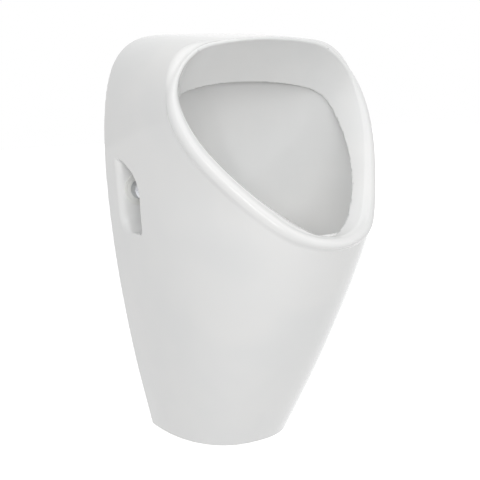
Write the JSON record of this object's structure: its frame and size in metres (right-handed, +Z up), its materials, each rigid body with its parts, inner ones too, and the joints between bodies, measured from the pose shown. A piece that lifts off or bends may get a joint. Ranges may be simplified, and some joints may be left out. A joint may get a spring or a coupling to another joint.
{
  "type": "wall hung urinal",
  "caption": "Wall hung urinal in white glazed china with a slanted mouth, rolled rim and skirt, chrome capped side fixings, back inlet and hidden bottle trap.",
  "frame": {"origin": "on the wall plane, midway between the two fixings", "axes": "+Z up; +X to the right of someone facing the urinal; +Y into the wall, so that the urinal stands out towards -Y"},
  "size_m": [0.3616, 0.4523, 0.643],
  "materials": {
    "china": "gloss white glaze",
    "chrome": "polished",
    "nylon": "moulded white nylon",
    "trap_plastic": "moulded white polypropylene",
    "pipe_plastic": "extruded grey pipe",
    "plug_plastic": "moulded grey nylon",
    "rubber": "moulded black",
    "brass": "turned, dull",
    "steel": "zinc plated"
  },
  "bodies": {
    "urinal": {"ceramic_body": "china", "flange_bushes": "nylon", "fixing_nuts": "steel", "fixing_washers": "steel", "hanger_bolts": "steel", "wall_plugs": "plug_plastic", "spreader_head": "chrome", "inlet_tail": "brass", "inlet_backnut": "brass", "inlet_front_gasket": "rubber", "inlet_back_gasket": "rubber", "waste_body": "brass", "waste_backnut": "brass", "waste_top_gasket": "rubber", "waste_bottom_gasket": "rubber", "trap_inlet_nut": "trap_plastic", "trap_inlet_seal": "rubber", "trap_body": "trap_plastic", "trap_dip_tube": "trap_plastic", "trap_outlet_nut": "trap_plastic", "trap_outlet_seal": "rubber", "outlet_pipe": "pipe_plastic", "outlet_wall_seal": "rubber"},
    "left_cap": {"left_cap": "chrome"},
    "right_cap": {"right_cap": "chrome"},
    "strainer": {"waste_grate": "chrome"},
    "cup_seal": {"trap_cup_seal": "rubber"},
    "cup": {"trap_cup": "trap_plastic"}
  },
  "joints": [
    {"name": "left_cap_pull", "type": "slide", "parent": "urinal", "child": "left_cap", "axis": [0, -1, 0], "range_m": [0, 0.022]},
    {"name": "right_cap_pull", "type": "slide", "parent": "urinal", "child": "right_cap", "axis": [0, -1, 0], "range_m": [0, 0.022]},
    {"name": "strainer_lift", "type": "slide", "parent": "urinal", "child": "strainer", "axis": [0, 0, 1], "range_m": [0, 0.04]},
    {"name": "cup_lower", "type": "slide", "parent": "urinal", "child": "cup_seal", "axis": [0, 0, -1], "range_m": [0, 0.018]},
    {"name": "cup_turn", "type": "hinge", "parent": "cup_seal", "child": "cup", "pos_m": [0, -0.1, -0.38], "axis": [0, 0, -1], "range_deg": [0, 1440]}
  ],
  "couplings": [
    {"joint": "cup_lower", "follows": "cup_turn", "m_per_rad": 0.000716}
  ]
}
